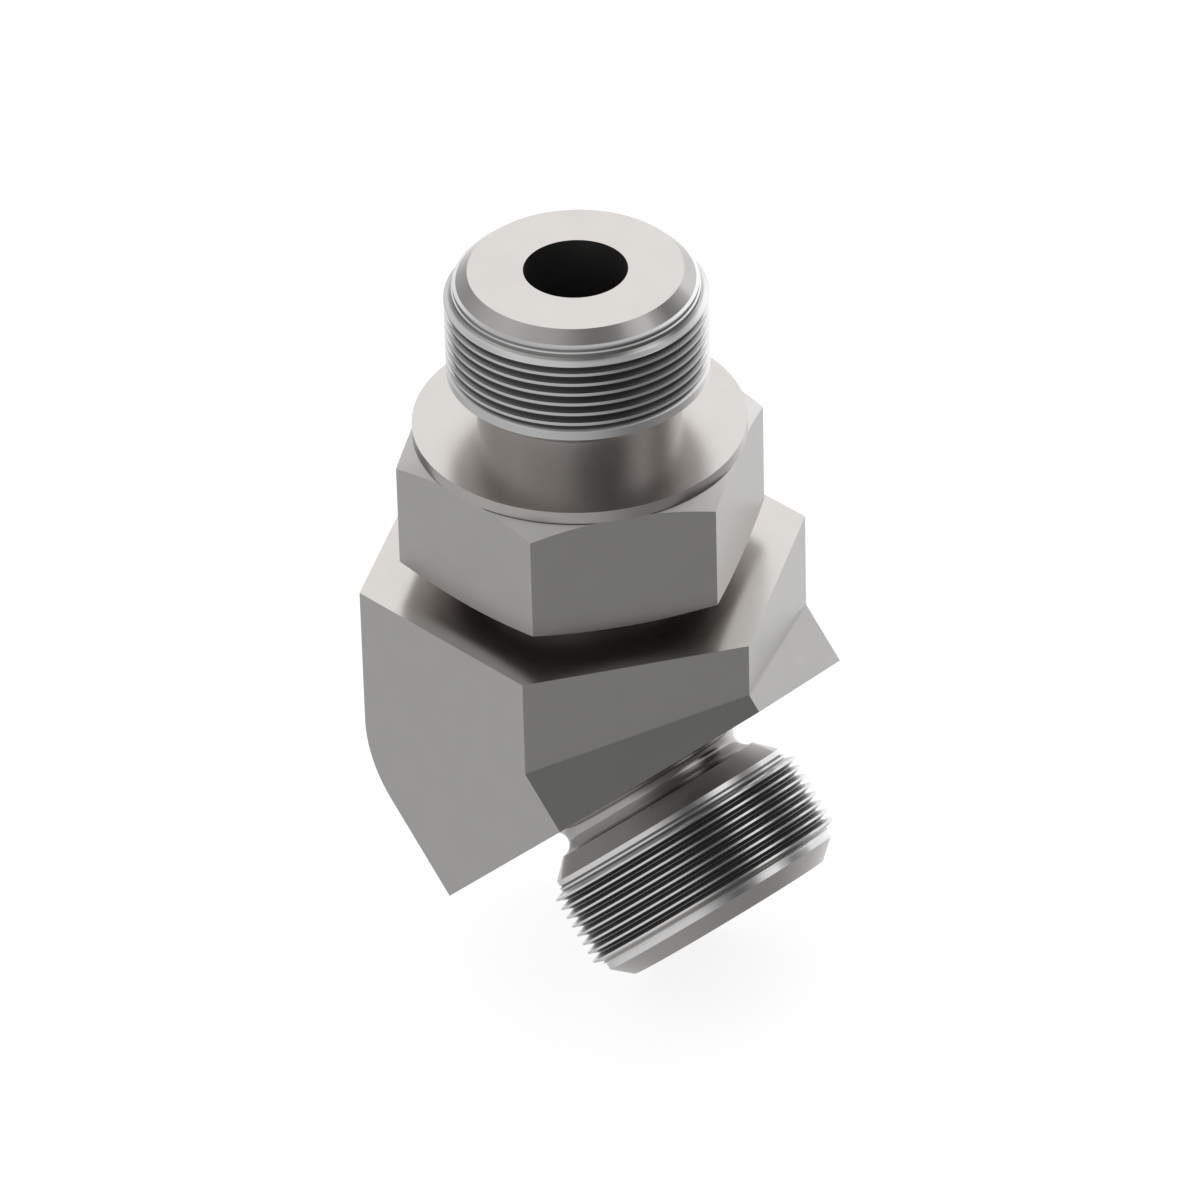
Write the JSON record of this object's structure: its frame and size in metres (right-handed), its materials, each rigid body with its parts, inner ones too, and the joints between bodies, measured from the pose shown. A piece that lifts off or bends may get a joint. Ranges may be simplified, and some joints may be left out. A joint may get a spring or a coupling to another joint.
{
  "type": "forty-five degree elbow fitting",
  "caption": "Steel hydraulic elbow that turns a line through forty-five degrees: a male stud swivels on ball races in a hexagonal body with a male tube port.",
  "frame": {"origin": "the bend point, where the stud's axis meets the branch's axis, inside the stud's bore", "axes": "+Z along the stud's axis towards its tip; the branch leaves towards +X and -Z at forty-five degrees; Y is across the bend, and the body's two flat sides face +Y and -Y"},
  "size_m": [0.093, 0.0734, 0.1421],
  "materials": {
    "body_steel": "satin machined",
    "stud_steel": "fine turned",
    "ball_steel": "polished",
    "pin_steel": "ground",
    "screw_steel": "black oxide",
    "nitrile": "matt",
    "ptfe": "matt"
  },
  "bodies": {
    "elbow": {"elbow_body": "body_steel", "dust_wiper": "nitrile", "upper_loading_pin": "pin_steel", "lower_loading_pin": "pin_steel", "upper_locking_screw": "screw_steel", "lower_locking_screw": "screw_steel"},
    "stud": {"swivel_stud": "stud_steel", "main_o_ring": "nitrile", "lower_backup_ring": "ptfe", "upper_backup_ring": "ptfe"},
    "upper_balls": {"upper_ball_1": "ball_steel", "upper_ball_2": "ball_steel", "upper_ball_3": "ball_steel", "upper_ball_4": "ball_steel", "upper_ball_5": "ball_steel", "upper_ball_6": "ball_steel", "upper_ball_7": "ball_steel", "upper_ball_8": "ball_steel", "upper_ball_9": "ball_steel", "upper_ball_10": "ball_steel", "upper_ball_11": "ball_steel", "upper_ball_12": "ball_steel", "upper_ball_13": "ball_steel", "upper_ball_14": "ball_steel", "upper_ball_15": "ball_steel", "upper_ball_16": "ball_steel", "upper_ball_17": "ball_steel", "upper_ball_18": "ball_steel", "upper_ball_19": "ball_steel", "upper_ball_20": "ball_steel"},
    "lower_balls": {"lower_ball_1": "ball_steel", "lower_ball_2": "ball_steel", "lower_ball_3": "ball_steel", "lower_ball_4": "ball_steel", "lower_ball_5": "ball_steel", "lower_ball_6": "ball_steel", "lower_ball_7": "ball_steel", "lower_ball_8": "ball_steel", "lower_ball_9": "ball_steel", "lower_ball_10": "ball_steel", "lower_ball_11": "ball_steel", "lower_ball_12": "ball_steel", "lower_ball_13": "ball_steel", "lower_ball_14": "ball_steel", "lower_ball_15": "ball_steel", "lower_ball_16": "ball_steel", "lower_ball_17": "ball_steel", "lower_ball_18": "ball_steel", "lower_ball_19": "ball_steel", "lower_ball_20": "ball_steel"}
  },
  "joints": [
    {"name": "stud_swivel", "type": "hinge", "parent": "elbow", "child": "stud", "pos_m": [0, 0, 0], "axis": [0, 0, 1], "continuous": true},
    {"name": "upper_ball_orbit", "type": "hinge", "parent": "elbow", "child": "upper_balls", "pos_m": [0, 0, 0], "axis": [0, 0, 1], "continuous": true},
    {"name": "lower_ball_orbit", "type": "hinge", "parent": "elbow", "child": "lower_balls", "pos_m": [0, 0, 0], "axis": [0, 0, 1], "continuous": true}
  ],
  "couplings": [
    {"joint": "upper_ball_orbit", "follows": "stud_swivel", "ratio": 0.42256},
    {"joint": "lower_ball_orbit", "follows": "stud_swivel", "ratio": 0.42256}
  ]
}
